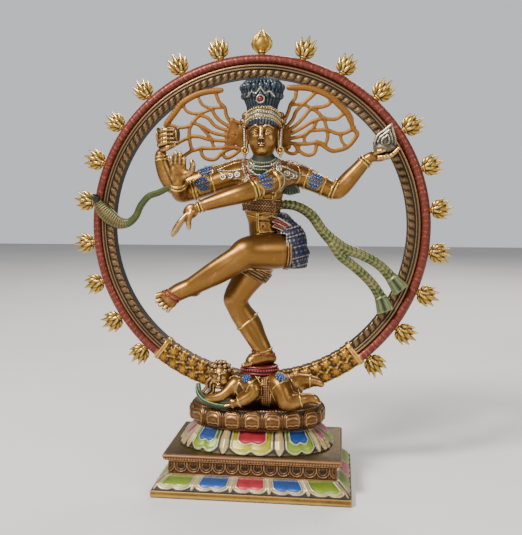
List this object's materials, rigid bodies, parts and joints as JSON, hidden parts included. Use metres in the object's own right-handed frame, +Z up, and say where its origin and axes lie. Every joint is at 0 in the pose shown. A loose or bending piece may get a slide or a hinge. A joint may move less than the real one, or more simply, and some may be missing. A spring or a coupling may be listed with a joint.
{
  "type": "nataraja statue",
  "caption": "Standing dancer statue in a ring of flames, one leg raised, on a prone figure, an oval lotus seat and a stepped rectangular plinth with painted petals.",
  "frame": {"origin": "on the table, under the centre of the plinth, at the underside of its felt pad", "axes": "+Z up, the statue's front faces -Y, +X towards the viewer's right and the dancer's left"},
  "size_m": [0.2878, 0.093, 0.3372],
  "materials": {
    "felt": "matte wool felt",
    "plinth_bronze": "antique bronze wash",
    "petal_paint": "hand painted petals, satin",
    "seat_copper": "coppery bronze, dark recesses",
    "ring_red": "rust red over bronze",
    "gold_leafwork": "dark gold, dark recesses",
    "flame_brass": "bright tips, dark recesses",
    "fan_bronze": "orange bronze",
    "skin_bronze": "warm bronze with dark recesses",
    "crown_blue": "blue black with silvery ridges",
    "blue_paint": "blue with gold pattern",
    "red_paint": "dark red beads",
    "green_paint": "green over bronze"
  },
  "bodies": {
    "root": {"anklets": "red_paint", "arm_across": "skin_bronze", "arm_drum": "skin_bronze", "arm_fire": "skin_bronze", "arm_palm": "skin_bronze", "armlets": "blue_paint", "base_block": "plinth_bronze", "base_foot_tier": "petal_paint", "base_slab": "plinth_bronze", "cobra": "green_paint", "collar": "red_paint", "crown": "crown_blue", "demon_arm": "skin_bronze", "demon_body": "skin_bronze", "demon_head": "skin_bronze", "demon_leg_far": "skin_bronze", "demon_leg_near": "skin_bronze", "demon_serpent": "green_paint", "drum": "skin_bronze", "felt_pad": "felt", "figure_head": "skin_bronze", "figure_torso": "skin_bronze", "flame_00": "flame_brass", "flame_01": "flame_brass", "flame_02": "flame_brass", "flame_03": "flame_brass", "flame_04": "flame_brass", "flame_05": "flame_brass", "flame_06": "flame_brass", "flame_07": "flame_brass", "flame_08": "flame_brass", "flame_09": "flame_brass", "flame_10": "flame_brass", "flame_11": "flame_brass", "flame_12": "flame_brass", "flame_13": "flame_brass", "flame_14": "flame_brass", "flame_15": "flame_brass", "flame_16": "flame_brass", "flame_17": "flame_brass", "flame_18": "flame_brass", "flame_19": "flame_brass", "flame_20": "flame_brass", "foot_rest": "red_paint", "hair_fan_left": "fan_bronze", "hair_fan_right": "fan_bronze", "hair_knot": "fan_bronze", "hip_cloth": "blue_paint", "lotus_seat": "seat_copper", "palm_fire": "flame_brass", "petal_skirt": "petal_paint", "raised_leg": "skin_bronze", "ring_hoop": "ring_red", "ring_tail_left": "gold_leafwork", "ring_tail_right": "gold_leafwork", "scarf_tail": "green_paint", "standing_leg": "skin_bronze", "wrist_bands": "skin_bronze"}
  },
  "joints": []
}
